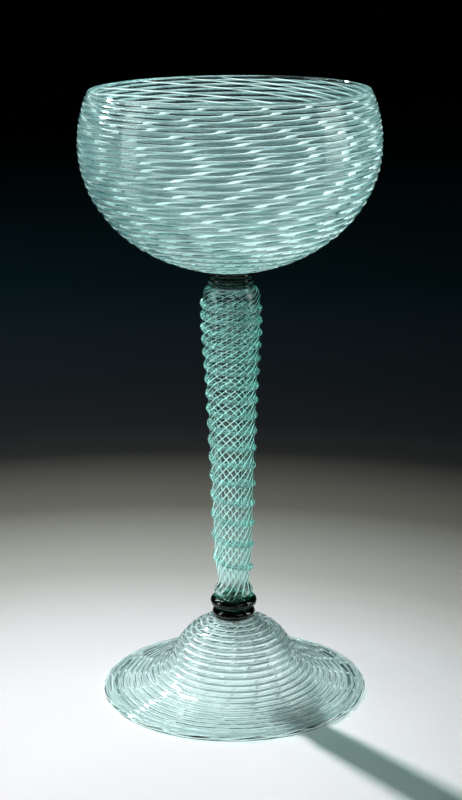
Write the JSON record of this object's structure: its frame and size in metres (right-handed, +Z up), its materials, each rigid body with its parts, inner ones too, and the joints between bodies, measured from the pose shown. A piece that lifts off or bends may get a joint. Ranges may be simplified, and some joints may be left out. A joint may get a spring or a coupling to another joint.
{
  "type": "goblet",
  "caption": "Tall goblet of blown glass with a wide round bowl, a bell-shaped foot, threads wound closely round both, and a stem with white threads under a milled trail.",
  "frame": {"origin": "centre of the foot's underside, on the surface the goblet stands on", "axes": "+Z up along the stem to the rim; -Y towards the picture's viewer and +X to the viewer's right, though the goblet is round"},
  "size_m": [0.1195, 0.1195, 0.2499],
  "materials": {
    "clear_glass": "clear pale blue-green blown glass, gloss, slightly waved",
    "white_thread": "milky white glass thread under a skin of clear glass, gloss",
    "pale_thread": "pale blue-green glass thread, slightly milky, melted into the wall as a ridge, gloss",
    "dark_green_glass": "deep green glass, nearly black where thick, gloss",
    "trail_glass": "blue-green glass trail, milled, gloss"
  },
  "bodies": {
    "root": {"bowl_wall": "clear_glass", "stem_tube": "clear_glass", "stem_pad": "clear_glass", "foot_wall": "clear_glass", "foot_rim": "clear_glass", "bowl_thread": "pale_thread", "foot_thread": "pale_thread", "stem_thread_01": "white_thread", "stem_thread_02": "white_thread", "stem_thread_03": "white_thread", "stem_thread_04": "white_thread", "stem_thread_05": "white_thread", "stem_thread_06": "white_thread", "stem_thread_07": "white_thread", "stem_thread_08": "white_thread", "stem_thread_09": "white_thread", "stem_thread_10": "white_thread", "stem_thread_11": "white_thread", "stem_thread_12": "white_thread", "stem_thread_13": "white_thread", "stem_thread_14": "white_thread", "stem_thread_15": "white_thread", "stem_thread_16": "white_thread", "upper_merese_01": "dark_green_glass", "upper_merese_02": "dark_green_glass", "lower_merese": "dark_green_glass", "lower_knop": "dark_green_glass", "stem_trail": "trail_glass"}
  },
  "joints": []
}
